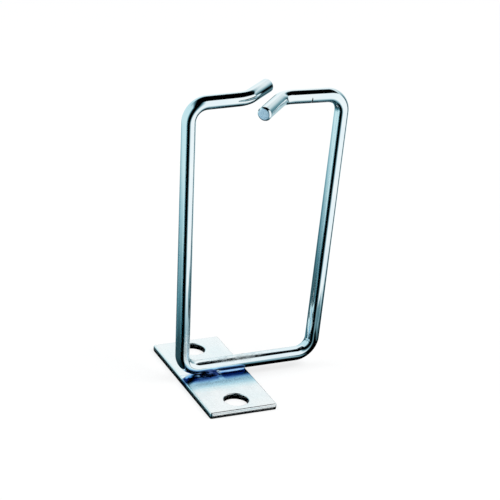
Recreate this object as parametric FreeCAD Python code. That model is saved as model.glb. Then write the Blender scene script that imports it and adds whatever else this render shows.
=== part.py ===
import FreeCAD, Part
import math
import os

# Cable management hook: a wire loop with an overlapping mouth, welded onto a strip with two fixing holes.
# Millimetres and degrees. The origin is the middle of the hole pattern on the strip's underside.
# X runs along the loop's bottom bar, Y along the strip and Z up through the loop.

# Fixing plate
plate_width = 20.0
plate_length = 42.0
plate_thickness = 1.8
hole_diameter = 7.0
# Metal left between a hole and the end of the plate
hole_end_wall = 2.0
# Rounding that shearing and punching leave on the plate's upper edges
edge_roll = 0.25
hole_roll = 0.3

# Wire and its bends; heights and widths are between centre lines
wire_diameter = 4.0
corner_inner_radius = 3.0
loop_width = 39.5
left_arm_height = 80.6
right_arm_height = 79.1
leg_splay = 2.3
right_arm_rise = 2.6
# Left leg's centre line inside the plate's left edge, and bottom bar behind the plate's middle
left_leg_inset = 0.7
bar_setback = 1.5

# Mouth: the arm ends turn out of the loop's plane, left end to the back and right end to the front
mouth_gap = 2.6
mouth_shift = 0.7
end_inner_radius = 5.0
left_end_turn = 37.8
right_end_turn = 43.8
left_end_length = 11.7
right_end_length = 13.9
end_bevel = 0.45

# Weld: a low puddle around the bar, left open at its root under the bar
weld_shift = 1.0
weld_diameter = 6.4
weld_height = 1.1
weld_root = 1.6

hole_spacing = plate_length - hole_diameter - 2 * hole_end_wall
wire_radius = wire_diameter / 2
corner_radius = corner_inner_radius + wire_radius
end_radius = end_inner_radius + wire_radius
bar_height = plate_thickness + wire_radius
left_foot = left_leg_inset - plate_width / 2
right_foot = left_foot + loop_width


def point(x, z):
    """A point in the loop's upright plane."""
    return FreeCAD.Vector(x, bar_setback, z)


def meeting(foot, lean, height, rise):
    """Where a leaning leg's centre line crosses the arm that passes over its foot at a height."""
    run = math.tan(math.radians(lean))
    slope = math.tan(math.radians(rise))
    climb = height / (1 - run * slope)
    return point(foot + climb * run, bar_height + climb)


def bent_path(vertices, radii):
    """Straight runs through the vertices, joined by tangent arcs of the given radii."""
    edges = []
    start = vertices[0]
    for before, corner, after, radius in zip(vertices, vertices[1:], vertices[2:], radii):
        back = (before - corner).normalize()
        ahead = (after - corner).normalize()
        half_angle = back.getAngle(ahead) / 2
        setback = radius / math.tan(half_angle)
        inward = (back + ahead).normalize()
        arc_start = corner + back * setback
        arc_middle = corner + inward * (radius / math.sin(half_angle) - radius)
        arc_end = corner + ahead * setback
        edges.append(Part.LineSegment(start, arc_start).toShape())
        edges.append(Part.Arc(arc_start, arc_middle, arc_end).toShape())
        start = arc_end
    edges.append(Part.LineSegment(start, vertices[-1]).toShape())
    return Part.Wire(edges)


def wire_vertices():
    """Corners of the wire's centre line, from the tip of the left end to the tip of the right end."""
    left_turn = math.radians(left_end_turn)
    right_turn = math.radians(right_end_turn)
    narrow_turn = min(left_turn, right_turn)
    mouth_middle = (left_foot + right_foot) / 2 - mouth_shift
    mouth_half = (wire_diameter + mouth_gap) / math.sin(narrow_turn) / 2
    left_mouth = point(mouth_middle - mouth_half, bar_height + left_arm_height)
    right_run = right_foot - mouth_middle - mouth_half
    right_climb = right_run * math.tan(math.radians(right_arm_rise))
    right_mouth = point(right_foot - right_run, bar_height + right_arm_height + right_climb)
    left_way = FreeCAD.Vector(math.cos(left_turn), math.sin(left_turn), 0)
    right_way = FreeCAD.Vector(-math.cos(right_turn), -math.sin(right_turn), 0)
    return [
        left_mouth + left_way * left_end_length,
        left_mouth,
        meeting(left_foot, -leg_splay, left_arm_height, 0),
        point(left_foot, bar_height),
        point(right_foot, bar_height),
        meeting(right_foot, leg_splay, right_arm_height, -right_arm_rise),
        right_mouth,
        right_mouth + right_way * right_end_length,
    ]


def round_edges_at(shape, centre, radius):
    """Full circular edges of a shape with the given centre and radius."""
    return [
        edge
        for edge in shape.Edges
        if isinstance(edge.Curve, Part.Circle)
        and edge.Curve.Center.distanceToPoint(centre) < 1e-4
        and abs(edge.Curve.Radius - radius) < 1e-4
    ]


def make_wire_loop():
    """The round wire swept along its bent centre line, with bevelled cut ends."""
    vertices = wire_vertices()
    radii = [end_radius] + [corner_radius] * 4 + [end_radius]
    path = bent_path(vertices, radii)
    section = Part.Wire([Part.Circle(vertices[0], vertices[1] - vertices[0], wire_radius).toShape()])
    loop = path.makePipeShell([section], True, False)
    tips = round_edges_at(loop, vertices[0], wire_radius) + round_edges_at(loop, vertices[-1], wire_radius)
    return loop.makeChamfer(end_bevel, tips)


def make_fixing_plate():
    """The sheared strip with its two punched holes and rolled upper edges."""
    corner = FreeCAD.Vector(-plate_width / 2, -plate_length / 2, 0)
    plate = Part.makeBox(plate_width, plate_length, plate_thickness, corner)
    top_edges = [edge for edge in plate.Edges if edge.BoundBox.ZMin > plate_thickness - 1e-6]
    plate = plate.makeFillet(edge_roll, top_edges)
    for side in (-1, 1):
        centre = FreeCAD.Vector(0, side * hole_spacing / 2, 0)
        plate = plate.cut(Part.makeCylinder(hole_diameter / 2, plate_thickness, centre))
        rim = round_edges_at(plate, centre + FreeCAD.Vector(0, 0, plate_thickness), hole_diameter / 2)
        plate = plate.makeFillet(hole_roll, rim)
    return plate


def make_weld_bead():
    """A puddle of weld metal on the plate, cut by the bar that it holds and open at the root."""
    base_radius = weld_diameter / 2
    dome_radius = (base_radius ** 2 + weld_height ** 2) / (2 * weld_height)
    foot = FreeCAD.Vector(-weld_shift, bar_setback, plate_thickness)
    dome = Part.makeSphere(dome_radius, foot + FreeCAD.Vector(0, 0, weld_height - dome_radius))
    block = Part.makeBox(
        weld_diameter * 2,
        weld_diameter * 2,
        wire_diameter,
        foot - FreeCAD.Vector(weld_diameter, weld_diameter, 0),
    )
    bar = Part.makeCylinder(wire_radius, loop_width, point(left_foot, bar_height), FreeCAD.Vector(1, 0, 0))
    root = Part.makeBox(
        weld_diameter * 2,
        weld_root,
        wire_radius,
        foot - FreeCAD.Vector(weld_diameter, weld_root / 2, 0),
    )
    lobes = dome.common(block).cut(bar).cut(root)
    return Part.makeCompound(lobes.Solids)


os.makedirs("parts", exist_ok=True)
make_wire_loop().exportStep("parts/wire_loop.step")
make_fixing_plate().exportStep("parts/fixing_plate.step")
make_weld_bead().exportStep("parts/weld_bead.step")
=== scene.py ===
"""Looks of a bent wire cable hook: a bright zinc plated loop welded onto a small strip with two holes."""

import logging
import math
from dataclasses import dataclass, field, replace
from enum import Enum

import bmesh
import bpy
from mathutils import Matrix, Vector


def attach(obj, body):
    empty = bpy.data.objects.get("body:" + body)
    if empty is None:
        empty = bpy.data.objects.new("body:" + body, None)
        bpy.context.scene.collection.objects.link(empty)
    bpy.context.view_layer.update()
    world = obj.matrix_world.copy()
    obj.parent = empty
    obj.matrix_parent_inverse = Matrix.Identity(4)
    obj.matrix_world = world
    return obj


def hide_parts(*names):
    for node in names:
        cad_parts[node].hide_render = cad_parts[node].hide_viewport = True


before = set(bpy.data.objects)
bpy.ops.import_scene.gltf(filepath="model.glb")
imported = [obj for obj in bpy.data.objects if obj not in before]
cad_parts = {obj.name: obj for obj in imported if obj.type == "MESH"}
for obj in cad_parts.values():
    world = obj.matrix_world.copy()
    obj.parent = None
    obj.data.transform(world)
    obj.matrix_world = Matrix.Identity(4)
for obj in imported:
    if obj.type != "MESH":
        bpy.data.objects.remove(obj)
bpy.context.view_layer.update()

log = logging.getLogger("cable_hook")

MM = 0.001
BODY = "root"
Socket = bpy.types.NodeSocket
Material = bpy.types.Material
Thing = bpy.types.Object
Mesh = bmesh.types.BMesh
Vert = bmesh.types.BMVert
Pair = tuple[float, float]
Triple = tuple[float, float, float]
Colour = Triple
WHITE: Colour = (1.0, 1.0, 1.0)
Stops = tuple[tuple[float, Colour], ...]


class Node(Enum):
    """CAD nodes that the pieces of this scene stand for."""

    LOOP = "wire_loop"
    PLATE = "fixing_plate"
    WELD = "weld_bead"


class Slot(Enum):
    """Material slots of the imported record."""

    WIRE = "zinc_wire"
    PLATE = "zinc_plate"
    WELD = "weld_metal"


class GrainWay(Enum):
    """Where the lines of a metal's surface run, as the coordinates that follow them."""

    ALONG_WIRE = "along_wire"
    ALONG_STRIP = "along_strip"


class NodeSketch:
    """Short way to write a node tree."""

    def __init__(self, tree: bpy.types.NodeTree) -> None:
        """Empties a node tree and takes it over.

        Args:
            tree: the tree of a material or a world.
        """
        self.tree = tree
        self.place: Socket | None = None
        tree.nodes.clear()

    @classmethod
    def of_material(cls, name: str) -> tuple[Material, "NodeSketch"]:
        """Starts a material.

        Args:
            name: the material's name.

        Returns:
            The material and its node tree, whose place is the coordinates in the part's frame.
        """
        made = bpy.data.materials.new(name)
        made.use_nodes = True
        sketch = cls(made.node_tree)
        sketch.place = sketch.add("TexCoord").outputs["Object"]
        return made, sketch

    def end_in_glass(self, colour: Socket) -> None:
        """Makes the material clear glass of a colour."""
        self.add("OutputMaterial", Surface=self.add("BsdfTransparent", Color=colour).outputs[0])

    def distance(self, middle: Triple, reach: Triple) -> Socket:
        """Distance from a middle, measured by a reach along each axis.

        Args:
            middle: where the distance is 0.
            reach: how far off it is 1, along each axis.

        Returns:
            The distance.
        """
        offset = self.vector("SUBTRACT", self.place, middle).outputs["Vector"]
        offset = self.vector("DIVIDE", offset, reach).outputs["Vector"]
        return self.vector("LENGTH", offset).outputs["Value"]

    def add(self, kind: str, settings: dict[str, object] | None = None, **sockets: object) -> bpy.types.Node:
        """Adds a node, sets its properties and feeds its inputs.

        Args:
            kind: Blender's node type without its ShaderNode prefix.
            settings: properties of the node itself.
            sockets: inputs by name, or by position as in0, in1 and so on; a socket is linked, a value is set.

        Returns:
            The new node.
        """
        node = self.tree.nodes.new("ShaderNode" + kind)
        for name, value in (settings or {}).items():
            setattr(node, name, value)
        for name, value in sockets.items():
            key = int(name[2:]) if name[2:].isdigit() and name.startswith("in") else name.replace("_", " ")
            self.feed(node.inputs[key], value)
        return node

    def feed(self, socket: Socket, value: object) -> None:
        """Links a socket to an output, or sets its value.

        Args:
            socket: the input to feed.
            value: an output socket, a number or a tuple.
        """
        if isinstance(value, Socket):
            self.tree.links.new(value, socket)
        elif isinstance(value, tuple) and socket.type == "RGBA" and len(value) == 3:
            socket.default_value = (*value, 1.0)
        else:
            socket.default_value = value

    def math(self, operation: str, *values: object, clamp: bool = False) -> Socket:
        """A Math node's result.

        Args:
            operation: Blender's name of the operation.
            values: its one to three inputs.
            clamp: keeps the result from 0 to 1.

        Returns:
            The output socket.
        """
        sockets = {f"in{i}": v for i, v in enumerate(values)}
        return self.add("Math", {"operation": operation, "use_clamp": clamp}, **sockets).outputs[0]

    def vector(self, operation: str, *values: object) -> bpy.types.Node:
        """A Vector Math node.

        Args:
            operation: Blender's name of the operation.
            values: its inputs in order.

        Returns:
            The node, whose outputs are Vector and Value.
        """
        sockets = {f"in{i}": v for i, v in enumerate(values)}
        return self.add("VectorMath", {"operation": operation}, **sockets)

    def ramp(self, value: object, low: object, high: object, to_low: object = 0.0, to_high: object = 1.0,
             smooth: bool = True) -> Socket:
        """Maps a value from one range to another and holds it there.

        Args:
            value: the value to map.
            low: start of its range.
            high: end of its range.
            to_low: result at the start.
            to_high: result at the end.
            smooth: eases the ends of the ramp.

        Returns:
            The output socket.
        """
        settings = {"interpolation_type": "SMOOTHSTEP" if smooth else "LINEAR", "clamp": True}
        node = self.add("MapRange", settings, in0=value, in1=low, in2=high, in3=to_low, in4=to_high)
        return node.outputs[0]

    def blend(self, factor: object, first: object, second: object, way: str = "MIX") -> Socket:
        """Mixes two colours.

        Args:
            factor: share of the second colour.
            first: the colour at 0.
            second: the colour at 1.
            way: Blender's blend type.

        Returns:
            The mixed colour.
        """
        node = self.add("Mix", {"data_type": "RGBA", "blend_type": way, "clamp_factor": True})
        self.feed(node.inputs[0], factor)
        self.feed(node.inputs[6], first)
        self.feed(node.inputs[7], second)
        return node.outputs[2]

    def stops(self, value: object, rows: Stops) -> Socket:
        """A colour that runs through set stops.

        Args:
            value: the value that picks the colour.
            rows: values and colours in rising order, the last value being the end of the range.

        Returns:
            The colour.
        """
        reach = rows[-1][0]
        node = self.add("ValToRGB", in0=self.math("DIVIDE", value, reach))
        elements = node.color_ramp.elements
        while len(elements) < len(rows):
            elements.new(1.0)
        for element, (at, colour) in zip(elements, rows):
            element.position = at / reach
            element.color = (*colour, 1.0)
        return node.outputs[0]

    def noise(self, vector: Socket, scale: float, detail: float,
              stretch: Triple = (1.0, 1.0, 1.0), shift: Triple = (0.0, 0.0, 0.0)) -> Socket:
        """Noise from 0 to 1 over stretched coordinates.

        Args:
            vector: coordinates in metres.
            scale: features per metre.
            detail: octaves of finer noise.
            stretch: factor on each coordinate.
            shift: offset of each coordinate.

        Returns:
            The noise's value.
        """
        place = self.add("Mapping", in0=vector, in1=shift, in3=stretch).outputs[0]
        return self.add("TexNoise", Vector=place, Scale=scale, Detail=detail).outputs[0]


@dataclass(frozen=True)
class OxideTintAndPaintedShade:
    """Blue welding oxide beside the line where bar and plate touch, also used to paint shade under the bar
    and a reflection of the bar onto the plate.
    """

    line: Pair
    stops: Stops
    half_span: float
    span_fade: float
    wobble: float
    gap: Pair = (0.0, 0.0)
    gap_share: float = 0.0
    back_stretch: float = 1.0
    drift_scale: float = 240.0

    def dress(self, sketch: NodeSketch, film: Socket) -> Socket:
        """Lays the tint over a film of zinc; besides oxide colour, the tint carries painted shade and painted
        reflection.

        Args:
            sketch: the material's node tree.
            film: colour of the clean film.

        Returns:
            The tinted colour.
        """
        offset = sketch.vector("SUBTRACT", sketch.place, (0.0, *self.line)).outputs["Vector"]
        ahead = sketch.vector("MULTIPLY", offset, (0.0, -1.0, -1.0)).outputs["Vector"]
        behind = sketch.vector("MULTIPLY", offset, (0.0, self.back_stretch, 1.0)).outputs["Vector"]
        level = sketch.vector("MAXIMUM", ahead, behind).outputs["Vector"]
        away = sketch.vector("LENGTH", level).outputs["Value"]
        drift = sketch.noise(sketch.place, self.drift_scale, 2.0, shift=(0.2, 0.5, 0.1))
        drift = sketch.math("SUBTRACT", drift, 0.5)
        away = sketch.math("MULTIPLY_ADD", drift, self.wobble, away)
        along = sketch.add("SeparateXYZ", in0=sketch.place).outputs[0]
        clear = sketch.ramp(sketch.math("ABSOLUTE", along), self.half_span, self.half_span + self.span_fade)
        if self.gap_share:
            start, end = self.gap
            inside = sketch.ramp(along, start - self.span_fade / 2, start, 0.0, self.gap_share)
            inside = sketch.math("MULTIPLY", inside, sketch.ramp(along, end + self.span_fade / 2, end))
            clear = sketch.math("MAXIMUM", clear, inside)
        tint = sketch.blend(clear, sketch.stops(away, self.stops), WHITE)
        return sketch.blend(1.0, film, tint, "MULTIPLY")


@dataclass(frozen=True)
class RubMark:
    """A place where the metal is duller than the rest, or smoother where the roughness is negative."""

    middle: Triple
    reach: Triple
    roughness: float
    full_until: float = 0.2
    break_scale: float = 700.0
    break_range: Pair = (0.32, 0.62)
    least_share: float = 0.35

    def dress(self, sketch: NodeSketch, rough: Socket) -> Socket:
        """Changes the roughness round the mark.

        Args:
            sketch: the material's node tree.
            rough: roughness of the clean metal.

        Returns:
            The roughness with the mark.
        """
        away = sketch.distance(self.middle, self.reach)
        broken = sketch.noise(sketch.place, self.break_scale, 3.0, shift=(0.6, 0.2, 0.4))
        broken = sketch.ramp(broken, *self.break_range, self.least_share, 1.0)
        share = sketch.math("MULTIPLY", sketch.ramp(away, 1.0, self.full_until), broken)
        return sketch.math("MULTIPLY_ADD", share, self.roughness, rough)


@dataclass(frozen=True)
class PressedLand:
    """A small place where the weld's pressure or a knock has turned the metal's surface."""

    middle: Triple
    reach: Triple
    facing: Triple
    full_until: float = 0.92

    def dress(self, sketch: NodeSketch, normal: Socket) -> Socket:
        """Turns the metal of the land.

        Args:
            sketch: the material's node tree.
            normal: direction of the round metal.

        Returns:
            The direction with the land.
        """
        share = sketch.ramp(sketch.distance(self.middle, self.reach), 1.0, self.full_until)
        change = sketch.vector("SUBTRACT", self.facing, normal).outputs["Vector"]
        turned = sketch.vector("MULTIPLY_ADD", change, share, normal).outputs["Vector"]
        return sketch.vector("NORMALIZE", turned).outputs["Vector"]


@dataclass(frozen=True)
class CutFace:
    """A sheared end of the wire, whose face is coarser and bluer than the drawn metal."""

    tip: Triple
    out: Triple
    dark: Colour = (0.58, 0.66, 0.80)
    light: Colour = (0.78, 0.82, 0.92)
    depth: float = 0.06 * MM
    reach: float = 3.0 * MM
    grain_scale: float = 1300.0
    grain_range: Pair = (0.35, 0.65)
    roughness: float = 0.22

    def dress(self, sketch: NodeSketch, film: Socket,
              rough: Socket) -> tuple[Socket, Socket]:
        """Coarsens the metal on the face.

        Args:
            sketch: the material's node tree.
            film: colour of the drawn metal.
            rough: its roughness.

        Returns:
            The colour and the roughness with the face.
        """
        offset = sketch.vector("SUBTRACT", sketch.place, self.tip).outputs["Vector"]
        above = sketch.vector("DOT_PRODUCT", offset, self.out).outputs["Value"]
        away = sketch.vector("LENGTH", offset).outputs["Value"]
        near = sketch.ramp(away, self.reach, 0.8 * self.reach)
        share = sketch.math("MULTIPLY", sketch.ramp(above, -self.depth, -0.5 * self.depth), near)
        grain = sketch.noise(sketch.place, self.grain_scale, 4.0, shift=(0.2, 0.5, 0.9))
        tint = sketch.blend(sketch.ramp(grain, *self.grain_range), self.dark, self.light)
        tint = sketch.blend(share, WHITE, tint)
        rough = sketch.math("MULTIPLY_ADD", share, self.roughness, rough)
        return sketch.blend(1.0, film, tint, "MULTIPLY"), rough


@dataclass(frozen=True)
class ZincFinish:
    """Bright zinc plate with a blue passivation film, over metal that keeps its drawn or rolled lines."""

    name: str
    grain: GrainWay
    pale: Colour
    blue: Colour
    roughness_low: float
    roughness_high: float
    line_height: float
    ripple_height: float
    ripple_scale: float
    oxide_and_painted_shade: tuple[OxideTintAndPaintedShade, ...]
    rubs: tuple[RubMark, ...] = ()
    lands: tuple[PressedLand, ...] = ()
    cuts: tuple[CutFace, ...] = ()
    line_scale: float = 5200.0
    line_stretch: float = 0.018
    cloud_scale: float = 85.0
    cloud_range: Pair = (0.34, 0.68)
    haze_scale: float = 310.0
    haze_range: Pair = (0.35, 0.75)
    streak_range: tuple[float, float, float, float] = (0.3, 0.75, 0.96, 1.0)
    ripple_stretch: Triple = (1.0, 1.0, 0.45)

    def material(self) -> Material:
        """Makes the finish."""
        made, sketch = NodeSketch.of_material(self.name)
        if self.grain is GrainWay.ALONG_WIRE:
            along = sketch.add("Attribute", {"attribute_name": self.grain.value}).outputs["Vector"]
            stretch = (1.0, 1.0, self.line_stretch)
        else:
            along = sketch.place
            stretch = (1.0, self.line_stretch, 1.0)
        lines = sketch.noise(along, self.line_scale, 3.0, stretch)
        ripple = sketch.noise(along, self.ripple_scale, 1.0, self.ripple_stretch)
        cloud = sketch.noise(sketch.place, self.cloud_scale, 2.0)
        haze = sketch.noise(sketch.place, self.haze_scale, 4.0, shift=(0.3, 0.1, 0.7))

        colour = sketch.blend(sketch.ramp(cloud, *self.cloud_range), self.pale, self.blue)
        # oxide tints, which also lay painted shade under the bar and painted reflections of the bar on the
        # plate
        for tint in self.oxide_and_painted_shade:
            colour = tint.dress(sketch, colour)
        streak = sketch.ramp(lines, *self.streak_range)
        grey = sketch.add("CombineColor", in0=streak, in1=streak, in2=streak).outputs[0]
        colour = sketch.blend(1.0, colour, grey, "MULTIPLY")

        rough = sketch.ramp(haze, *self.haze_range, self.roughness_low, self.roughness_high)
        for mark in self.rubs:
            rough = mark.dress(sketch, rough)
        for cut in self.cuts:
            colour, rough = cut.dress(sketch, colour, rough)
        fine = sketch.add("Bump", Height=lines, Distance=self.line_height, Strength=1.0).outputs[0]
        waves = sketch.add("Bump", Height=ripple, Distance=self.ripple_height, Strength=1.0, Normal=fine)
        wavy = waves.outputs[0]
        for land in self.lands:
            wavy = land.dress(sketch, wavy)
        shader = sketch.add("BsdfPrincipled", Base_Color=colour, Metallic=1.0, Roughness=rough, Normal=wavy)
        sketch.add("OutputMaterial", Surface=shader.outputs[0])
        return made


@dataclass(frozen=True)
class WeldFinish:
    """Plated weld metal: a navy skin with paler patches, and pale zinc colour towards the back and the right,
    which on the front lobe's right edge is a painted highlight.
    """

    name: str
    dark: Colour = (0.02, 0.05, 0.20)
    light: Colour = (0.12, 0.20, 0.46)
    zinc_and_painted_highlight: Colour = (0.86, 0.94, 0.97)
    highlight_from: Pair = (0.5 * MM, 1.1 * MM)
    highlight_slant: float = 1.6
    roughness_low: float = 0.12
    roughness_high: float = 0.28
    grain_height: float = 0.02 * MM
    patch_scale: float = 620.0
    patch_range: Pair = (0.42, 0.66)
    patch_drift: float = 1.2 * MM
    grain_scale: float = 3400.0
    grain_range: Pair = (0.3, 0.7)

    def material(self) -> Material:
        """Makes the finish."""
        made, sketch = NodeSketch.of_material(self.name)
        patch = sketch.noise(sketch.place, self.patch_scale, 2.0)
        grain = sketch.noise(sketch.place, self.grain_scale, 3.0)
        colour = sketch.blend(sketch.ramp(patch, *self.patch_range), self.dark, self.light)
        east, north, _ = sketch.add("SeparateXYZ", in0=sketch.place).outputs
        along = sketch.math("MULTIPLY_ADD", north, self.highlight_slant, east)
        along = sketch.math("MULTIPLY_ADD", sketch.math("SUBTRACT", patch, 0.5), self.patch_drift, along)
        # pale zinc colour towards the back and the right; on the front lobe's right edge it is a painted
        # highlight
        colour = sketch.blend(sketch.ramp(along, *self.highlight_from), colour, self.zinc_and_painted_highlight)
        rough = sketch.ramp(grain, *self.grain_range, self.roughness_low, self.roughness_high)
        bump = sketch.add("Bump", Height=grain, Distance=self.grain_height, Strength=1.0).outputs[0]
        shader = sketch.add("BsdfPrincipled", Base_Color=colour, Metallic=1.0, Roughness=rough, Normal=bump)
        sketch.add("OutputMaterial", Surface=shader.outputs[0])
        return made


def bridge(made: Mesh, loops: list[list[Vert]], closed: bool = True) -> None:
    """Joins each loop of vertices to the next one with quads.

    Args:
        made: the mesh, which grows.
        loops: loops with as many vertices each.
        closed: joins the loops' last vertices to their first ones too.
    """
    for first, second in zip(loops, loops[1:]):
        for k in range(len(first) if closed else len(first) - 1):
            j = (k + 1) % len(first)
            made.faces.new((first[k], first[j], second[j], second[k]))


def fan(made: Mesh, tip: Vert, ring: list[Vert]) -> None:
    """Closes a ring with triangles that meet in a tip."""
    for k, vert in enumerate(ring):
        made.faces.new((tip, vert, ring[(k + 1) % len(ring)]))


def finished_piece(mesh: Mesh, node: Node, material: Material) -> Thing:
    """Turns a mesh into a piece that stands for a CAD node and rides on the body.

    Args:
        mesh: the piece's mesh in the CAD frame, which is freed.
        node: the CAD node that it stands for.
        material: its finish.

    Returns:
        The piece's object.
    """
    bmesh.ops.recalc_face_normals(mesh, faces=mesh.faces)
    for face in mesh.faces:
        face.smooth = True
    data = bpy.data.meshes.new(node.value + "_look")
    mesh.to_mesh(data)
    mesh.free()
    data.materials.append(material)
    piece = bpy.data.objects.new(node.value + "_look", data)
    bpy.context.scene.collection.objects.link(piece)
    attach(piece, BODY)
    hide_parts(node.value)
    log.info("%s: %d faces", piece.name, len(data.polygons))
    return piece


@dataclass(frozen=True)
class Station:
    """One place on the wire's centre line."""

    point: Vector
    way: Vector
    bend: Vector
    along: float


@dataclass
class WireLoop:
    """The bent round wire: bottom bar, splayed legs, arms and two ends that pass each other at the mouth."""

    finish: ZincFinish
    plate_width: float = 20.0 * MM
    plate_thickness: float = 1.8 * MM
    diameter: float = 4.0 * MM
    corner_inner_radius: float = 3.0 * MM
    loop_width: float = 39.5 * MM
    left_arm_height: float = 80.6 * MM
    right_arm_height: float = 79.1 * MM
    leg_splay: float = 2.3
    right_arm_rise: float = 2.6
    left_leg_inset: float = 0.7 * MM
    bar_setback: float = 1.5 * MM
    mouth_gap: float = 2.6 * MM
    mouth_shift: float = 0.7 * MM
    end_inner_radius: float = 5.0 * MM
    left_end_turn: float = 37.8
    right_end_turn: float = 43.8
    left_end_length: float = 11.7 * MM
    right_end_length: float = 13.9 * MM
    end_bevel: float = 0.45 * MM
    bend_flattening: float = 0.03
    skin_inset: float = 0.008 * MM
    sides: int = 64
    run_step: float = 2.0 * MM
    bend_step: float = 4.5
    bevel_rows: tuple[Pair, ...] = (
        (1.25, 0.0), (1.06, 0.004), (0.94, 0.07), (0.5, 0.5), (0.1, 0.9), (0.03, 1.02), (0.0, 1.2),
    )
    face_rings: Pair = (0.5, 0.25)
    bevel_clearance: float = 1.6

    @property
    def radius(self) -> float:
        """Radius of the wire."""
        return self.diameter / 2

    @property
    def skin_radius(self) -> float:
        """Radius of the visible skin, a hair inside the solid."""
        return self.radius - self.skin_inset

    @property
    def bar_height(self) -> float:
        """Height of the bottom bar's centre line."""
        return self.plate_thickness + self.radius

    @property
    def left_foot(self) -> float:
        """X of the left leg's centre line at the bar."""
        return self.left_leg_inset - self.plate_width / 2

    @property
    def right_foot(self) -> float:
        """X of the right leg's centre line at the bar."""
        return self.left_foot + self.loop_width

    def point(self, x: float, z: float) -> Vector:
        """A point in the loop's upright plane."""
        return Vector((x, self.bar_setback, z))

    def meeting(self, foot: float, lean: float, height: float, rise: float) -> Vector:
        """Where a leaning leg crosses the arm above its foot.

        Args:
            foot: X of the leg at the bar.
            lean: the leg's lean to the right in degrees.
            height: the arm's height over the bar at the foot.
            rise: the arm's slope in degrees.

        Returns:
            The crossing of the two centre lines.
        """
        run = math.tan(math.radians(lean))
        climb = height / (1 - run * math.tan(math.radians(rise)))
        return self.point(foot + climb * run, self.bar_height + climb)

    def corners(self) -> list[Vector]:
        """Corners of the centre line from the left tip to the right tip."""
        left_turn = math.radians(self.left_end_turn)
        right_turn = math.radians(self.right_end_turn)
        middle = (self.left_foot + self.right_foot) / 2 - self.mouth_shift
        half = (self.diameter + self.mouth_gap) / math.sin(min(left_turn, right_turn)) / 2
        left_mouth = self.point(middle - half, self.bar_height + self.left_arm_height)
        run = self.right_foot - middle - half
        climb = run * math.tan(math.radians(self.right_arm_rise))
        right_mouth = self.point(self.right_foot - run, self.bar_height + self.right_arm_height + climb)
        left_way = Vector((math.cos(left_turn), math.sin(left_turn), 0))
        right_way = Vector((-math.cos(right_turn), -math.sin(right_turn), 0))
        return [
            left_mouth + left_way * self.left_end_length,
            left_mouth,
            self.meeting(self.left_foot, -self.leg_splay, self.left_arm_height, 0),
            self.point(self.left_foot, self.bar_height),
            self.point(self.right_foot, self.bar_height),
            self.meeting(self.right_foot, self.leg_splay, self.right_arm_height, -self.right_arm_rise),
            right_mouth,
            right_mouth + right_way * self.right_end_length,
        ]

    def stations(self) -> list[Station]:
        """Places along the centre line, close together in the bends."""
        corners = self.corners()
        corner_radius = self.corner_inner_radius + self.radius
        end_radius = self.end_inner_radius + self.radius
        radii = [end_radius] + [corner_radius] * 4 + [end_radius]
        made: list[Station] = []
        start, along = corners[0], 0.0
        for before, corner, after, radius in zip(corners, corners[1:], corners[2:], radii):
            back, ahead = (before - corner).normalized(), (after - corner).normalized()
            half = back.angle(ahead) / 2
            setback = radius / math.tan(half)
            inward = (back + ahead).normalized()
            centre = corner + inward * (radius / math.sin(half))
            arc_start, arc_end = corner + back * setback, corner + ahead * setback
            along = self.add_run(made, start, arc_start, along)
            first = (arc_start - centre).normalized()
            turn = math.pi - 2 * half
            count = max(4, round(math.degrees(turn) / self.bend_step))
            for k in range(1, count):
                angle = turn * k / count
                out = first * math.cos(angle) - back * math.sin(angle)
                way = -back * math.cos(angle) - first * math.sin(angle)
                weight = math.sin(math.pi * k / count)
                made.append(Station(centre + out * radius, way, -out * weight, along + radius * angle))
            along += radius * turn
            start = arc_end
        self.add_run(made, start, corners[-1], along)
        return made

    def add_run(self, made: list[Station], start: Vector, end: Vector, along: float) -> float:
        """Adds the stations of a straight run.

        Args:
            made: the stations so far, which grow.
            start: first point of the run.
            end: last point of the run.
            along: length of wire before the run.

        Returns:
            Length of wire up to the run's end.
        """
        span = end - start
        count = max(2, round(span.length / self.run_step))
        for k in range(count + 1):
            share = k / count
            here = start + span * share
            made.append(Station(here, span.normalized(), Vector(), along + span.length * share))
        return along + span.length

    def bevel_profile(self) -> list[Pair]:
        """Distances from the cut face and radii from the wire's side to the middle of the face."""
        bevel = self.end_bevel
        profile = [(bevel * back, self.skin_radius - bevel * cut) for back, cut in self.bevel_rows]
        return profile + [(0.0, self.radius * share) for share in self.face_rings]

    def mesh(self) -> Mesh:
        """Sweeps the round section along the stations and closes both ends with bevelled faces."""
        made = bmesh.new()
        place = made.verts.layers.float_vector.new(GrainWay.ALONG_WIRE.value)
        stations = self.stations()
        side = stations[0].way.orthogonal().normalized()
        rings: list[list[Vert]] = []
        tips: list[Vert] = []

        def ring(at: Station, across: Vector, radius: float) -> list[Vert]:
            """Adds one ring of the section.

            Args:
                at: the ring's station.
                across: first direction of the section.
                radius: its radius.

            Returns:
                The ring's vertices.
            """
            other = at.way.cross(across)
            verts = []
            for k in range(self.sides):
                angle = math.tau * k / self.sides
                offset = (across * math.cos(angle) + other * math.sin(angle)) * radius
                offset -= at.bend * (offset.dot(at.bend) * self.bend_flattening)
                vert = made.verts.new(at.point + offset)
                vert[place] = Vector((radius * math.cos(angle), radius * math.sin(angle), at.along))
                verts.append(vert)
            return verts

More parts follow.
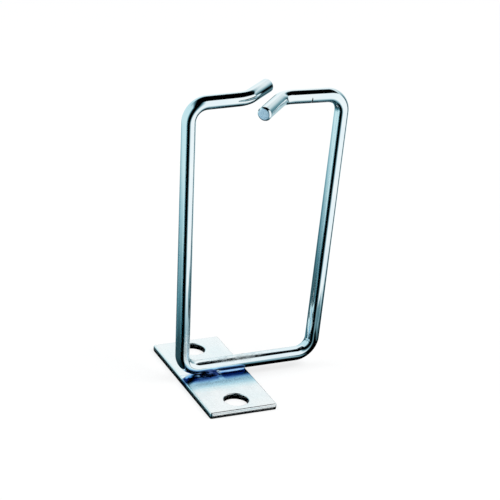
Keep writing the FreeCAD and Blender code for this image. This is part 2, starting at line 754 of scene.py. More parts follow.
        last = stations[-1]
        reach = self.end_bevel * self.bevel_clearance
        body = [s for s in stations if s.along > reach and last.along - s.along > reach]
        for at, sign in ((stations[0], 1), (last, -1)):
            head = [
                (Station(at.point + at.way * (sign * back), at.way, Vector(), at.along + sign * back), radius)
                for back, radius in self.bevel_profile()
            ]
            if sign > 0:
                rows = head[::-1]
            else:
                for here in body:
                    side = (side - here.way * side.dot(here.way)).normalized()
                    rings.append(ring(here, side, self.skin_radius))
                rows = head
            side = (side - at.way * side.dot(at.way)).normalized()
            rings += [ring(here, side, radius) for here, radius in rows]
            tip = made.verts.new(at.point)
            tip[place] = Vector((0.0, 0.0, at.along))
            tips.append(tip)
        bridge(made, rings)
        for tip, edge in zip(tips, (rings[0], rings[-1])):
            fan(made, tip, edge)
        return made

    def cut_faces(self) -> tuple[CutFace, ...]:
        """The sheared faces at both tips."""
        corners = self.corners()
        ends = ((corners[0], corners[1]), (corners[-1], corners[-2]))
        return tuple(CutFace(tuple(tip), tuple((tip - mouth).normalized())) for tip, mouth in ends)

    def build(self) -> Thing:
        """Makes the wire and dresses it."""
        finish = replace(self.finish, cuts=self.cut_faces())
        return finished_piece(self.mesh(), Node.LOOP, finish.material())


@dataclass
class FixingPlate:
    """The sheared strip: two punched holes, rolled upper edges and slightly barrelled sides."""

    finish: ZincFinish
    width: float = 20.0 * MM
    length: float = 42.0 * MM
    thickness: float = 1.8 * MM
    hole_diameter: float = 7.0 * MM
    hole_end_wall: float = 2.0 * MM
    edge_roll: float = 0.42 * MM
    hole_roll: float = 0.3 * MM
    corner_round: float = 0.6 * MM
    flat_start: float = 0.52 * MM
    side_barrel: float = 0.1 * MM
    under_edge: float = 0.1 * MM
    arc_steps: int = 6
    edge_step: float = 0.75 * MM
    rim_reach: float = 1.8
    wall_shares: Pair = (0.5, 0.22)
    burr: tuple[Pair, ...] = ((0.03 * MM, 0.08 * MM), (0.08 * MM, 0.0))
    under_turn: Pair = (0.4, 0.25)
    merge_distance: float = 0.002 * MM

    @property
    def hole_offset(self) -> float:
        """Distance of each hole's centre from the plate's middle."""
        return self.length / 2 - self.hole_end_wall - self.hole_diameter / 2

    def outline(self) -> list[tuple[Vector, Vector]]:
        """Outline of the back half, from the right side over the end to the left side.

        Returns:
            Points of the sharp outline's offset base and the direction in which they move inwards.
        """
        half_w, half_l, turn = self.width / 2, self.length / 2, self.corner_round
        rows: list[tuple[Vector, Vector]] = []
        count = round((half_l - turn) / self.edge_step)
        for k in range(count):
            rows.append((Vector((half_w, (half_l - turn) * k / count)), Vector((-1, 0))))
        for k in range(self.arc_steps + 1):
            angle = math.pi / 2 * k / self.arc_steps
            out = Vector((math.cos(angle), math.sin(angle)))
            rows.append((Vector((half_w - turn, half_l - turn)) + out * turn, -out))
        span = half_w - turn
        count = round(span / self.edge_step)
        for k in range(1, count + 1):
            rows.append((Vector((span * (1 - k / count), half_l)), Vector((0, -1))))
        mirrored = [(Vector((-p.x, p.y)), Vector((-i.x, i.y))) for p, i in rows[-2::-1]]
        return rows + mirrored

    def side_profile(self) -> list[Pair]:
        """Insets and heights of the outer side, from the flat top round to the underside."""
        roll, top, under = self.edge_roll, self.thickness, self.under_edge
        rows = [(self.flat_start, top)]
        for k in range(self.arc_steps + 1):
            angle = math.pi / 2 * k / self.arc_steps
            inset = roll * (1 - math.sin(angle)) + self.barrel(top - roll)
            rows.append((inset, top - roll * (1 - math.cos(angle))))
        for k in range(1, self.arc_steps):
            height = top - roll + (under - top + roll) * k / self.arc_steps
            rows.append((self.barrel(height), height))
        rows.append((self.barrel(under), under))
        inset, rise = self.under_turn
        rows.append((self.barrel(under) + under * inset, under * rise))
        rows.append((self.barrel(under) + under, 0.0))
        rows.append((self.flat_start, 0.0))
        return rows

    def barrel(self, height: float) -> float:
        """How far the side stands back at a height, because it bulges in the middle."""
        middle = self.thickness / 2
        return self.side_barrel * ((height - middle) / middle) ** 2

    def hole_profile(self) -> list[Pair]:
        """Radii and heights of a hole, from the flat top down to the underside."""
        radius, roll, top = self.hole_diameter / 2, self.hole_roll, self.thickness
        rim = radius + roll * self.rim_reach
        rows = [(rim, top)]
        for k in range(self.arc_steps + 1):
            angle = math.pi / 2 * k / self.arc_steps
            rows.append((radius + roll * (1 - math.sin(angle)), top - roll * (1 - math.cos(angle))))
        rows += [(radius, top * share) for share in self.wall_shares]
        rows += [(radius + wider, height) for wider, height in self.burr]
        return rows + [(rim, 0.0)]

    def mesh(self) -> Mesh:
        """Builds the half behind the middle with its hole, mirrors it and joins the two."""
        made = bmesh.new()
        outline = self.outline()
        sides, hole = self.side_profile(), self.hole_profile()
        middle = Vector((0.0, self.hole_offset))
        span = self.width - 2 * self.flat_start
        count = round(span / self.edge_step)
        across = [Vector((span * (k / count - 0.5), 0.0)) for k in range(1, count)]
        for sign in (1, -1):
            loops = [
                [made.verts.new((*self.flip(base + way * inset, sign), height)) for base, way in outline]
                for inset, height in sides
            ]
            bridge(made, loops, closed=False)
            walls = self.hole_walls(made, middle, sign, loops, across, hole)
            for edge, rim in ((loops[0], walls[0]), (loops[-1], walls[-1])):
                height = edge[0].co.z
                closing = [made.verts.new((*self.flip(p, sign), height)) for p in across]
                self.fill_between(made, edge + closing, rim)
        bmesh.ops.remove_doubles(made, verts=made.verts, dist=self.merge_distance)
        return made

    @staticmethod
    def flip(point: Vector, sign: int) -> Pair:
        """A point of the back half, or its mirror image in the front half."""
        return point.x, point.y * sign

    def hole_walls(self, made: Mesh, middle: Vector, sign: int, loops: list[list[Vert]],
                   across: list[Vector], hole: list[Pair]) -> list[list[Vert]]:
        """Adds a hole's wall, with one vertex in each ring towards every point of the surrounding edge.

        Args:
            made: the plate's mesh, which grows.
            middle: the hole's centre in the back half.
            sign: 1 for the back half and -1 for the front half.
            loops: the half's outer loops.
            across: points along the plate's middle.
            hole: radii and heights of the wall.

        Returns:
            The rings from the top to the underside.
        """
        around = [Vector((v.co.x, v.co.y * sign)) for v in loops[0]] + across
        ways = [(p - middle).normalized() for p in around]
        rings = [
            [made.verts.new((*self.flip(middle + way * radius, sign), height)) for way in ways]
            for radius, height in hole
        ]
        bridge(made, rings)
        return rings

    @staticmethod
    def fill_between(made: Mesh, edge: list[Vert], rim: list[Vert],
                     rows: int = 5) -> None:
        """Fills the flat face between an outer edge and a hole's rim with rows of quads.

        Args:
            made: the plate's mesh, which grows.
            edge: vertices of the outer edge.
            rim: as many vertices of the rim.
            rows: rows of faces.
        """
        loops = [rim]
        for row in range(1, rows):
            loops.append([made.verts.new(r.co.lerp(e.co, row / rows)) for r, e in zip(rim, edge)])
        loops.append(edge)
        bridge(made, loops)

    def build(self) -> Thing:
        """Makes the plate and dresses it."""
        return finished_piece(self.mesh(), Node.PLATE, self.finish.material())


@dataclass
class WeldBead:
    """The weld at the crossing: a rippled lobe of metal on each side of the bar."""

    finish: WeldFinish
    shift: float = 1.0 * MM
    bar_setback: float = 1.5 * MM
    plate_top: float = 1.8 * MM
    wire_radius: float = 2.0 * MM
    diameter: float = 6.4 * MM
    height: float = 1.1 * MM
    root: float = 1.6 * MM
    ripple_pitch: float = 0.8 * MM
    ripple_height: float = 0.035 * MM
    tip_turn: float = 0.15
    steps: int = 56
    skin: int = 20
    ripple_bow: float = 0.35
    floor_shares: tuple[float, ...] = (0.75, 0.5, 0.25, 0.0)

    @property
    def centre(self) -> Vector:
        """Middle of the weld on the plate."""
        return Vector((-self.shift, self.bar_setback, self.plate_top))

    def dome(self, x: float, y: float) -> float:
        """Height of the puddle over the plate.

        Args:
            x: distance from the centre along the bar.
            y: distance from the centre across the bar.

        Returns:
            The height, 0 at the rim.
        """
        base = self.diameter / 2
        ball = (base ** 2 + self.height ** 2) / (2 * self.height)
        inside = ball ** 2 - x * x - y * y
        ripple = math.sin(math.tau * (x + self.ripple_bow * y * y / base) / self.ripple_pitch)
        fade = max(0.0, 1 - (x * x + y * y) / base ** 2)
        waves = self.ripple_height * fade * (0.5 + 0.5 * ripple)
        return math.sqrt(max(inside, 0.0)) - ball + self.height - waves

    def under_bar(self, y: float) -> float:
        """Height of the bar's underside over the plate at a distance from its centre line."""
        return self.wire_radius - math.sqrt(max(self.wire_radius ** 2 - y * y, 0.0))

    def section(self, x: float) -> list[Pair]:
        """Closed section of one lobe.

        Args:
            x: place along the bar.

        Returns:
            Distances from the bar's centre line and heights over the plate.
        """
        inner = self.root / 2
        outer = max(inner, math.sqrt(max((self.diameter / 2) ** 2 - x * x, 0.0)))
        rows = []
        for k in range(self.skin + 1):
            share = k / self.skin
            y = inner + (outer - inner) * share
            rows.append((y, max(0.0, min(self.dome(x, y), self.under_bar(y)))))
        floor = [(inner + (outer - inner) * share, 0.0) for share in self.floor_shares]
        return rows + floor

    def mesh(self) -> Mesh:
        """Lofts the sections of both lobes and closes each lobe in a point at its two tips."""
        made = bmesh.new()
        reach = math.sqrt((self.diameter / 2) ** 2 - (self.root / 2) ** 2)
        for sign in (1, -1):
            rings = []
            for k in range(self.steps + 1):
                x = -reach * math.cos(self.tip_turn + (math.pi - 2 * self.tip_turn) * k / self.steps)
                rings.append([
                    made.verts.new(self.centre + Vector((x, sign * y, z))) for y, z in self.section(x)
                ])
            bridge(made, rings)
            for ring, end in ((rings[0], -reach), (rings[-1], reach)):
                tip = made.verts.new(self.centre + Vector((end, sign * self.root / 2, 0.0)))
                fan(made, tip, ring)
        return made

    def build(self) -> Thing:
        """Makes the weld and dresses it."""
        return finished_piece(self.mesh(), Node.WELD, self.finish.material())


@dataclass
class StudioCamera:
    """Camera at the photograph's angle, with a long lens."""

    place: Vector = field(default_factory=lambda: Vector((-0.294695, -0.627760, 0.371834)))
    yaw: float = -25.749
    pitch: float = 25.505
    roll: float = 4.540
    lens: float = 201.6
    sensor: float = 36.0
    clip: Pair = (0.01, 20.0)

    def axes(self) -> Matrix:
        """Turn of the camera in the part's frame."""
        yaw, pitch, roll = (math.radians(a) for a in (self.yaw, self.pitch, self.roll))
        right = Vector((math.cos(yaw), math.sin(yaw), 0))
        flat = Vector((-math.sin(yaw), math.cos(yaw), 0))
        ahead = flat * math.cos(pitch) - Vector((0, 0, math.sin(pitch)))
        up = flat * math.sin(pitch) + Vector((0, 0, math.cos(pitch)))
        across = right * math.cos(roll) + up * math.sin(roll)
        over = up * math.cos(roll) - right * math.sin(roll)
        return Matrix((across, over, -ahead)).transposed()

    def build(self) -> Thing:
        """Makes the camera the scene's own."""
        data = bpy.data.cameras.new("studio_camera")
        data.lens, data.sensor_width = self.lens, self.sensor
        data.clip_start, data.clip_end = self.clip
        camera = bpy.data.objects.new("studio_camera", data)
        camera.matrix_world = Matrix.Translation(self.place) @ self.axes().to_4x4()
        bpy.context.scene.collection.objects.link(camera)
        bpy.context.scene.camera = camera
        log.info("camera: lens %.1f mm", self.lens)
        return camera


@dataclass(frozen=True)
class ShadePool:
    """A pool of shade on the floor's mirror sheet, dark in its middle and clear at its rim."""

    middle: Pair
    left: float
    right: float
    front: float
    back: float
    clear_from: float
    darkest: float

    def light(self, sketch: NodeSketch) -> Socket:
        """Light that the pool leaves at a place on the floor.

        Args:
            sketch: the film's node tree.

        Returns:
            The light, 1 where it is clear.
        """
        offset = sketch.vector("SUBTRACT", sketch.place, (*self.middle, 0.0)).outputs["Vector"]
        ahead = sketch.vector("MULTIPLY", offset, (1 / self.right, 1 / self.back, 0.0)).outputs["Vector"]
        behind = sketch.vector("MULTIPLY", offset, (-1 / self.left, -1 / self.front, 0.0)).outputs["Vector"]
        level = sketch.vector("MAXIMUM", ahead, behind).outputs["Vector"]
        away = sketch.vector("LENGTH", level).outputs["Value"]
        return sketch.math("MAXIMUM", sketch.ramp(away, self.clear_from, 1.0, smooth=False), self.darkest)


@dataclass(frozen=True)
class FloorField:
    """A rectangle on the floor with soft sides."""

    left: float
    right: float
    front: float
    back: float
    soft: float
    depth: float = 1.0

    def inside(self, sketch: NodeSketch) -> Socket:
        """Share of a place that lies in the field.

        Args:
            sketch: the film's node tree.

        Returns:
            The field's depth inside and 0 outside.
        """
        east, north, _ = sketch.add("SeparateXYZ", in0=sketch.place).outputs
        share = sketch.ramp(east, self.left, self.left + self.soft, 0.0, self.depth)
        for value, edge, way in ((east, self.right, -1), (north, self.front, 1), (north, self.back, -1)):
            share = sketch.math("MULTIPLY", share, sketch.ramp(value, edge, edge + way * self.soft))
        return share


@dataclass(frozen=True)
class Lamp:
    """A square soft lamp that points at the origin."""

    name: str
    place: Triple
    power: float
    size: float = 0.7

    def build(self) -> None:
        """Hangs the lamp."""
        data = bpy.data.lights.new(self.name, "AREA")
        data.energy, data.size = self.power, self.size
        lamp = bpy.data.objects.new(self.name, data)
        lamp.location = self.place
        lamp.rotation_euler = (-Vector(self.place)).to_track_quat("-Z", "Y").to_euler()
        lamp.visible_glossy = False
        bpy.context.scene.collection.objects.link(lamp)


@dataclass
class Studio:
    """A white background and floor, two soft lamps, and cards that only the metal's reflections show.

    The cards are a panel over the object, a strip before it, a doorway at the right, a tinted wall round the
    left, a dim ground and a sheet of shade on the floor. They stay where they are when the camera moves.
    """

    view_yaw: float = -25.749
    wall_tint: Colour = (0.66, 0.85, 0.88)
    wall_fade: Pair = (-0.45, 0.15)
    wall_radius: float = 3.0
    wall_heights: Pair = (-3.0, 3.0)
    wall_steps: int = 24
    dimming: Stops = (
        (0.0, (0.0, 0.0, 0.0)), (0.3, (0.14, 0.29, 0.34)), (0.65, (0.54, 0.66, 0.69)), (1.0, WHITE),
    )
    strip_place: Vector = field(default_factory=lambda: Vector((10.5 * MM, 1.5 * MM, 0.0)))
    strip_distance: float = 220.0 * MM
    strip_half: Pair = (55.0 * MM, 178.0 * MM)
    strip_heights: Triple = (-700.0 * MM, 320.0 * MM, 540.0 * MM)
    doorway_left: Pair = (-0.01, -0.19)
    doorway_right: Triple = (0.085, 0.45, 1.05)
    doorway_lean: float = 3.0
    doorway_top: Pair = (0.10, 0.60)
    doorway_dip: float = -0.40
    doorway_steps: Pair = (0.62, 0.38)
    doorway_distance: float = 3.0
    doorway_facing: float = 0.42
    doorway_half: float = 2.6
    doorway_heights: Pair = (-9.0, 3.4)
    ground_depth: float = 1.0
    ground_fade: Pair = (0.593, 1.52)
    ground_light: float = 0.25
    panel_back: Pair = (45.0 * MM, 115.8 * MM)
    panel_front: Pair = (-400.0 * MM, 463.0 * MM)
    panel_sides: Pair = (-430.0 * MM, 240.0 * MM)
    panel_slant: Pair = (-67.0 * MM, 0.82)
    panel_cut: Pair = (38.0 * MM, 0.4)
    panel_soft: tuple[float, float, float, float] = (12.0 * MM, 25.0 * MM, 60.0 * MM, 120.0 * MM)
    shade_half: Pair = (300.0 * MM, 300.0 * MM)
    shade_pools: tuple[ShadePool, ...] = (
        ShadePool((-12.0 * MM, 0.0), 130.0 * MM, 75.0 * MM, 62.0 * MM, 100.0 * MM, 0.12, 0.08),
        ShadePool((40.0 * MM, -4.0 * MM), 22.0 * MM, 110.0 * MM, 30.0 * MM, 60.0 * MM, 0.15, 0.10),
        ShadePool((10.0 * MM, 40.0 * MM), 160.0 * MM, 60.0 * MM, 70.0 * MM, 230.0 * MM, 0.08, 0.12),
        ShadePool((11.0 * MM, 1.5 * MM), 34.0 * MM, 60.0 * MM, 11.0 * MM, 10.0 * MM, 0.6, 0.0),
        ShadePool((-34.0 * MM, -42.0 * MM), 50.0 * MM, 24.0 * MM, 40.0 * MM, 24.0 * MM, 0.0, 0.15),
    )
    bright_strip: FloorField = FloorField(-9.0 * MM, 13.0 * MM, -25.0 * MM, -21.5 * MM, 0.6 * MM)
    foot_shade: FloorField = FloorField(29.5 * MM, 45.0 * MM, -24.0 * MM, 9.0 * MM, 3.0 * MM)
    front_shade: FloorField = FloorField(28.0 * MM, 62.0 * MM, -44.0 * MM, -18.0 * MM, 6.0 * MM, 0.7)
    # painted shade under the plate's footprint, so that the holes and the plate's lower sides reflect dark
    under_plate_shade: FloorField = FloorField(-11.3 * MM, 11.3 * MM, -22.7 * MM, 22.3 * MM, 0.2 * MM)
    floor_size: float = 6.0
    floor_drop: float = 0.02 * MM
    shade_drop: float = 0.008 * MM
    floor_matt: Colour = (0.3, 0.3, 0.3)
    floor_glow: float = 0.70
    floor_pale: Colour = (0.85, 0.85, 0.85)
    plain_light: Colour = (0.9, 0.92, 0.93)
    plain_strength: float = 0.6
    lamps: tuple[Lamp, ...] = (
        Lamp("key_softbox", (0.5, -0.4, 0.9), 6.0), Lamp("fill_softbox", (-0.6, 0.2, 0.8), 3.0),
    )

    def build(self) -> None:
        """Makes the room and its light."""
        bpy.context.scene.view_settings.view_transform = "Standard"
        self.make_world()
        self.make_floor()
        self.make_wall()
        self.make_doorway()
        self.make_ground()
        self.make_panel()
        self.make_strip()
        self.make_shade()
        for lamp in self.lamps:
            lamp.build()
        log.info("studio: %d lamps", len(self.lamps))

    def towards_camera(self) -> Vector:
        """Level direction from the object to the camera."""
        yaw = math.radians(self.view_yaw)
        return Vector((math.sin(yaw), -math.cos(yaw), 0))

    def to_the_right(self) -> Vector:
        """Level direction to the right in the picture."""
        yaw = math.radians(self.view_yaw)
        return Vector((math.cos(yaw), math.sin(yaw), 0))

    def make_world(self) -> None:
        """A white background for the camera and for metal alike, and plain light for matt surfaces."""
        world = bpy.data.worlds.new("studio_room")
        bpy.context.scene.world = world
        world.use_nodes = True
        sketch = NodeSketch(world.node_tree)
        path = sketch.add("LightPath").outputs
        plain = sketch.add("Background", Color=self.plain_light, Strength=self.plain_strength).outputs[0]
        white = sketch.add("Background", Color=WHITE, Strength=1.0).outputs[0]
        direct = sketch.math("MAXIMUM", path["Is Camera Ray"], path["Is Transmission Ray"])
        direct = sketch.math("MAXIMUM", direct, path["Is Glossy Ray"])
        seen = sketch.add("MixShader", in0=direct, in1=plain, in2=white).outputs[0]
        sketch.add("OutputWorld", Surface=seen)

    def stage_sheet(self, name: str, corners: list[Vector], material: Material) -> Thing:
        """Adds a flat sheet of the studio.

        Args:
            name: its name.
            corners: its corners, four for each of its faces.
            material: its surface.

        Returns:
            The sheet.
        """
        data = bpy.data.meshes.new(name)
        faces = [tuple(range(k, k + 4)) for k in range(0, len(corners), 4)]
        data.from_pydata([tuple(c) for c in corners], [], faces)
        data.materials.append(material)
        sheet = bpy.data.objects.new(name, data)
        bpy.context.scene.collection.objects.link(sheet)
        return sheet

    def mirror_card(self, name: str, corners: list[Vector], material: Material) -> None:
        """Adds a sheet that only reflections show.

        Args:
            name: its name.
            corners: its corners, four for each of its faces.
            material: its film.
        """
        sheet = self.stage_sheet(name, corners, material)
        sheet.visible_camera = False
        sheet.visible_diffuse = False
        sheet.visible_shadow = False
        sheet.visible_transmission = False

    @staticmethod
    def level_corners(wide: float, deep: float, height: float) -> list[Vector]:
        """Corners of a level sheet round the origin, from its half sizes and its height."""
        return [Vector((x * wide, y * deep, height)) for x, y in ((-1, -1), (1, -1), (1, 1), (-1, 1))]

    @staticmethod
    def upright_corners(left: Vector, right: Vector, heights: Pair) -> list[Vector]:
        """Corners of an upright sheet from its level ends and its two heights."""
        low, high = (Vector((0.0, 0.0, z)) for z in heights)
        return [left + low, right + low, right + high, left + high]

    def make_floor(self) -> None:
        """A white floor that keeps the object's soft shadow; the shade sheet stands for it in reflections."""
        made, sketch = NodeSketch.of_material("pale_floor")
        matt = sketch.add("BsdfDiffuse", Color=self.floor_matt).outputs[0]
        pale = sketch.add("BsdfDiffuse", Color=self.floor_pale).outputs[0]
        glow = sketch.add("Emission", Color=WHITE, Strength=self.floor_glow).outputs[0]
        lit = sketch.add("AddShader", in0=matt, in1=glow).outputs[0]
        camera = sketch.add("LightPath").outputs["Is Camera Ray"]
        both = sketch.add("MixShader", in0=camera, in1=pale, in2=lit).outputs[0]
        sketch.add("OutputMaterial", Surface=both)
        half = self.floor_size / 2
        floor = self.stage_sheet("floor", self.level_corners(half, half, -self.floor_drop), made)
        floor.visible_glossy = False

    def floor_film(self) -> Material:
        """The floor's painted shade for reflections: pools round the object, a clear strip before the plate
        and painted shade under the plate.
        """
        made, sketch = NodeSketch.of_material("floor_shade_film")
        lit = self.shade_pools[0].light(sketch)
        for pool in self.shade_pools[1:]:
            lit = sketch.math("MINIMUM", lit, pool.light(sketch))
        lit = sketch.math("MAXIMUM", lit, self.bright_strip.inside(sketch))
        for dark in (self.foot_shade, self.front_shade, self.under_plate_shade):
            lit = sketch.math("MULTIPLY", lit, sketch.math("SUBTRACT", 1.0, dark.inside(sketch)))
        sketch.end_in_glass(sketch.stops(lit, self.dimming))
        return made

    def make_wall(self) -> None:
        """The tinted wall curved round the left side, seen only in reflections."""
        made, sketch = NodeSketch.of_material("wall_tint")
        way = sketch.vector("NORMALIZE", sketch.place).outputs["Vector"]
        rightwards = sketch.vector("DOT_PRODUCT", way, tuple(self.to_the_right())).outputs["Value"]
        colour = sketch.blend(sketch.ramp(rightwards, *self.wall_fade), self.wall_tint, WHITE)
        sketch.end_in_glass(colour)
        right, ahead = self.to_the_right(), self.towards_camera()
        first = math.acos(self.wall_fade[1])
        turn = (math.tau - 2 * first) / self.wall_steps
        corners: list[Vector] = []
        for k in range(self.wall_steps):
            here, there = (
                (right * math.cos(angle) + ahead * math.sin(angle)) * self.wall_radius
                for angle in (first + turn * k, first + turn * (k + 1))
            )
            corners += self.upright_corners(here, there, self.wall_heights)
        self.mirror_card("tinted_wall", corners, made)

    def make_doorway(self) -> None:
        """The dark doorway at the right, seen only in reflections."""
        made, sketch = NodeSketch.of_material("doorway_dark")
        way = sketch.vector("NORMALIZE", sketch.place).outputs["Vector"]
        east, north, rise = sketch.add("SeparateXYZ", in0=way).outputs
        bearing = sketch.math("ARCTAN2", north, east)
        dip = sketch.math("MAXIMUM", sketch.math("SUBTRACT", self.doorway_dip, rise), 0.0)
        turned = sketch.math("MULTIPLY_ADD", dip, -self.doorway_lean, bearing)
        jamb, wall, corner = self.doorway_right
        first, second = self.doorway_steps
        beyond = sketch.math(
            "ADD",
            sketch.ramp(turned, jamb, wall, 0.0, first, smooth=False),
            sketch.ramp(turned, wall, corner, 0.0, second, smooth=False),
        )
        before = sketch.ramp(bearing, *self.doorway_left)
        above = sketch.ramp(rise, *self.doorway_top, smooth=False)
        lit = sketch.math("MAXIMUM", sketch.math("MAXIMUM", beyond, before), above)
        sketch.end_in_glass(sketch.stops(lit, self.dimming))
        facing = self.doorway_facing
        middle = Vector((math.cos(facing), math.sin(facing), 0.0)) * self.doorway_distance
        aside = Vector((-math.sin(facing), math.cos(facing), 0.0)) * self.doorway_half
        corners = self.upright_corners(middle - aside, middle + aside, self.doorway_heights)
        self.mirror_card("dark_doorway", corners, made)

    def make_ground(self) -> None:
        """The dim ground straight under the object, seen only in reflections."""
        made, sketch = NodeSketch.of_material("ground_dim")
        level = sketch.vector("MULTIPLY", sketch.place, (1.0, 1.0, 0.0)).outputs["Vector"]
        away = sketch.vector("LENGTH", level).outputs["Value"]
        lit = sketch.ramp(away, *self.ground_fade, self.ground_light, 1.0, smooth=False)
        sketch.end_in_glass(sketch.stops(lit, self.dimming))
        half = self.ground_fade[1]
        corners = self.level_corners(half, half, -self.ground_depth)
        self.mirror_card("dim_ground", corners, made)

    def panel_film(self) -> Material:
        """The panel's cloth, black up to its soft edges."""
        made, sketch = NodeSketch.of_material("panel_cloth")
        east, north, _ = sketch.add("SeparateXYZ", in0=sketch.place).outputs
        cut_from, cut_slope = self.panel_cut
        left, left_slope = self.panel_slant
        right, front, back = self.panel_sides[1], self.panel_front[0], self.panel_back[0]
        soft_back, soft_left, soft_right, soft_front = self.panel_soft
        beyond = sketch.math("MAXIMUM", sketch.math("SUBTRACT", east, cut_from), 0.0)
        slanted = sketch.math("MULTIPLY_ADD", beyond, cut_slope, north)
        inside = sketch.ramp(slanted, back, back - soft_back)
        from_left = sketch.math("MULTIPLY_ADD", north, -left_slope, east)
        for edge in (
            sketch.ramp(from_left, left - soft_left, left + soft_left),
            sketch.ramp(east, right, right - soft_right),
            sketch.ramp(north, front, front + soft_front),
        ):
            inside = sketch.math("MULTIPLY", inside, edge)
        lit = sketch.math("SUBTRACT", 1.0, inside)
        sketch.end_in_glass(sketch.stops(lit, self.dimming))
        return made

    def make_panel(self) -> None:
        """The dark panel over the object, seen only in reflections."""
        left, right = self.panel_sides
        (front, high), (back, low) = self.panel_front, self.panel_back
        rows = ((left, front, high), (right, front, high), (right, back, low), (left, back, low))
        corners = [Vector(row) for row in rows]
        self.mirror_card("dark_panel", corners, self.panel_film())

    def strip_film(self) -> Material:
        """The strip's cloth, black along its middle and clear at its sides and top."""
        made, sketch = NodeSketch.of_material("strip_cloth")
        offset = sketch.vector("SUBTRACT", sketch.place, tuple(self.strip_place)).outputs["Vector"]
        across = sketch.vector("DOT_PRODUCT", offset, tuple(self.to_the_right())).outputs["Value"]
        sides = sketch.ramp(sketch.math("ABSOLUTE", across), *self.strip_half)
        top = sketch.ramp(sketch.add("SeparateXYZ", in0=sketch.place).outputs[2], *self.strip_heights[1:])
        lit = sketch.math("MAXIMUM", sides, top)
        sketch.end_in_glass(sketch.stops(lit, self.dimming))
        return made

    def make_strip(self) -> None:
        """The dark upright strip before the object, seen only in reflections."""
        middle = self.strip_place + self.towards_camera() * self.strip_distance
        aside = self.to_the_right() * self.strip_half[1]
        heights = (self.strip_heights[0], self.strip_heights[2])
        corners = self.upright_corners(middle - aside, middle + aside, heights)
        self.mirror_card("dark_strip", corners, self.strip_film())

    def make_shade(self) -> None:
        """The dim floor round the object, seen only in reflections."""
        corners = self.level_corners(*self.shade_half, -self.shade_drop)
        self.mirror_card("floor_shade", corners, self.floor_film())


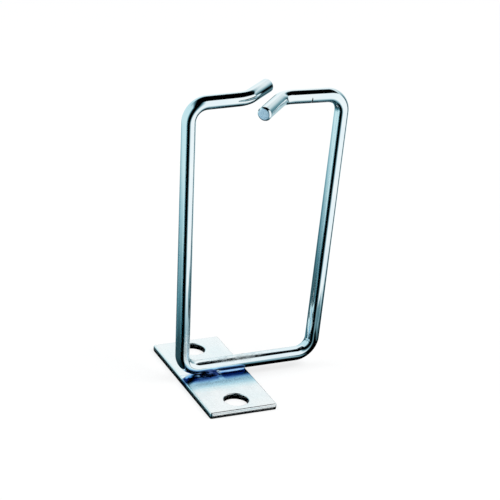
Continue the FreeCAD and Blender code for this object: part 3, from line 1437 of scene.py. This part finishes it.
def main() -> None:
    """Builds the pieces in order, then the studio round them."""
    logging.basicConfig(level=logging.INFO)
    # blue oxide and painted shade on the bar's underside over the plate: navy low on the bar, paling upwards
    wire_oxide_and_painted_shade = OxideTintAndPaintedShade(
        line=(1.5 * MM, 1.8 * MM), half_span=9.5 * MM, span_fade=2.0 * MM, wobble=0.5 * MM,
        gap=(-4.4 * MM, 2.0 * MM), gap_share=0.7,
        stops=(
            (1.0 * MM, (0.48, 0.69, 1.0)), (1.15 * MM, (0.02, 0.05, 0.22)), (1.8 * MM, (0.025, 0.07, 0.27)),
            (2.05 * MM, (0.14, 0.26, 0.50)), (2.3 * MM, (0.58, 0.76, 0.90)), (2.6 * MM, (0.93, 0.97, 0.99)),
            (3.0 * MM, WHITE),
        ),
    )
    bar_rub = RubMark(
        middle=(7.5 * MM, 1.5 * MM, 5.6 * MM), reach=(13.0 * MM, 3.0 * MM, 3.0 * MM), roughness=0.48,
    )
    leg_haze = RubMark(
        middle=(-8.9 * MM, -0.3 * MM, 12.5 * MM), reach=(1.9 * MM, 1.9 * MM, 9.0 * MM), roughness=0.32,
    )
    joint = PressedLand(
        middle=(6.0 * MM, 1.5 * MM, 1.8 * MM), reach=(5.0 * MM, 1.1 * MM, 1.1 * MM),
        facing=(0.0, -0.982, -0.19),
    )
    nick = PressedLand(
        middle=(23.1 * MM, -0.3 * MM, 82.45 * MM), reach=(0.2 * MM, 0.9 * MM, 1.15 * MM),
        facing=(0.0, -0.55, 0.83),
    )
    wire_zinc = ZincFinish(
        name="bright_zinc_wire", grain=GrainWay.ALONG_WIRE,
        pale=(0.88, 0.96, 0.98), blue=(0.80, 0.92, 0.97),
        roughness_low=0.05, roughness_high=0.11, line_height=0.0012 * MM, ripple_height=0.006 * MM,
        ripple_scale=520.0, oxide_and_painted_shade=(wire_oxide_and_painted_shade,), rubs=(bar_rub, leg_haze), lands=(joint, nick),
    )
    # pale blue haze on the plate before the bar: blue oxide and a painted, blurred reflection of the bar
    plate_oxide_and_painted_reflection = OxideTintAndPaintedShade(
        line=(1.5 * MM, 1.8 * MM), half_span=12.0 * MM, span_fade=1.0 * MM, wobble=1.6 * MM,
        back_stretch=60.0,
        stops=(
            (1.5 * MM, (0.92, 0.98, 1.0)), (2.4 * MM, (0.45, 0.68, 0.89)), (3.5 * MM, (0.42, 0.66, 0.88)),
            (6.0 * MM, (0.50, 0.77, 0.94)), (7.7 * MM, (0.62, 0.87, 0.98)), (9.1 * MM, (0.86, 0.97, 1.0)),
            (11.0 * MM, WHITE),
        ),
    )
    # painted reflection of the bar's dark underside: a navy band on the plate along the bar, partly cleared
    # at the weld's right edge
    plate_painted_reflection = OxideTintAndPaintedShade(
        line=(1.5 * MM, 1.8 * MM), half_span=12.0 * MM, span_fade=0.9 * MM, wobble=0.9 * MM,
        gap=(0.5 * MM, 1.6 * MM), gap_share=0.8, back_stretch=60.0,
        stops=(
            (1.4 * MM, (1.0, 1.0, 1.0)), (2.0 * MM, (0.50, 0.64, 0.76)), (3.0 * MM, (0.32, 0.45, 0.62)),
            (3.8 * MM, (0.15, 0.23, 0.42)), (4.3 * MM, (0.20, 0.31, 0.50)), (4.8 * MM, (0.42, 0.55, 0.70)),
            (5.5 * MM, (0.88, 0.94, 0.98)), (6.0 * MM, WHITE),
        ),
    )
    plate_polish = RubMark(
        middle=(0.0, 0.5 * MM, 1.8 * MM), reach=(16.0 * MM, 5.5 * MM, 4.0 * MM),
        roughness=-0.19, full_until=0.6,
    )
    plate_zinc = ZincFinish(
        name="bright_zinc_strip", grain=GrainWay.ALONG_STRIP,
        pale=(0.97, 0.99, 0.995), blue=(0.90, 0.97, 0.99),
        roughness_low=0.23, roughness_high=0.31, line_height=0.001 * MM, ripple_height=0.004 * MM,
        ripple_scale=260.0, oxide_and_painted_shade=(plate_oxide_and_painted_reflection, plate_painted_reflection), rubs=(plate_polish,),
    )
    WireLoop(wire_zinc).build()
    FixingPlate(plate_zinc).build()
    WeldBead(WeldFinish("tinted_weld")).build()
    StudioCamera().build()
    Studio().build()


if __name__ == "__main__":
    main()
